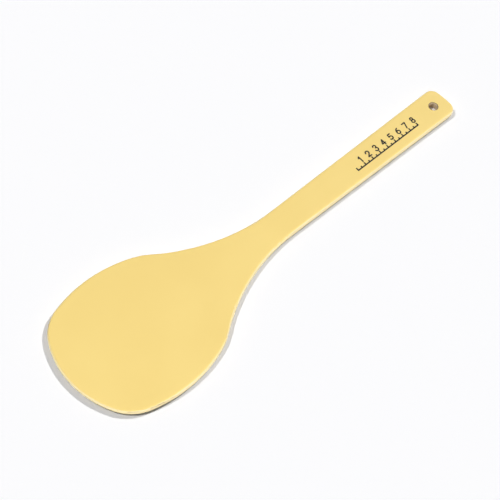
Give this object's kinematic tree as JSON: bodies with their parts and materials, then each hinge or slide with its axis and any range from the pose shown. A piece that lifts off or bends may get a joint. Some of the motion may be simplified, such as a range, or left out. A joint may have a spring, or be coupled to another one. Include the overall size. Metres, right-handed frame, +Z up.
{
  "type": "rice paddle",
  "caption": "Long-handled flat rice paddle of plastic over a sealed wooden core, with a broad egg-shaped blade and a hanging hole.",
  "frame": {"origin": "on the lower face, in the middle of the overall length and width", "axes": "+Y from the blade's tip to the handle's end, +Z up out of the printed front face, +X across to the right"},
  "size_m": [0.125, 0.45, 0.0071],
  "materials": {
    "skin_plastic": "satin",
    "rim_plastic": "satin",
    "veneer_wood": "matte",
    "cross_wood": "matte",
    "print_ink": "matte"
  },
  "bodies": {
    "root": {"front_skin": "skin_plastic", "back_skin": "skin_plastic", "edge_frame": "rim_plastic", "core_front_veneer": "veneer_wood", "core_middle_ply": "cross_wood", "core_back_veneer": "veneer_wood", "handle_print": "print_ink"}
  },
  "joints": []
}
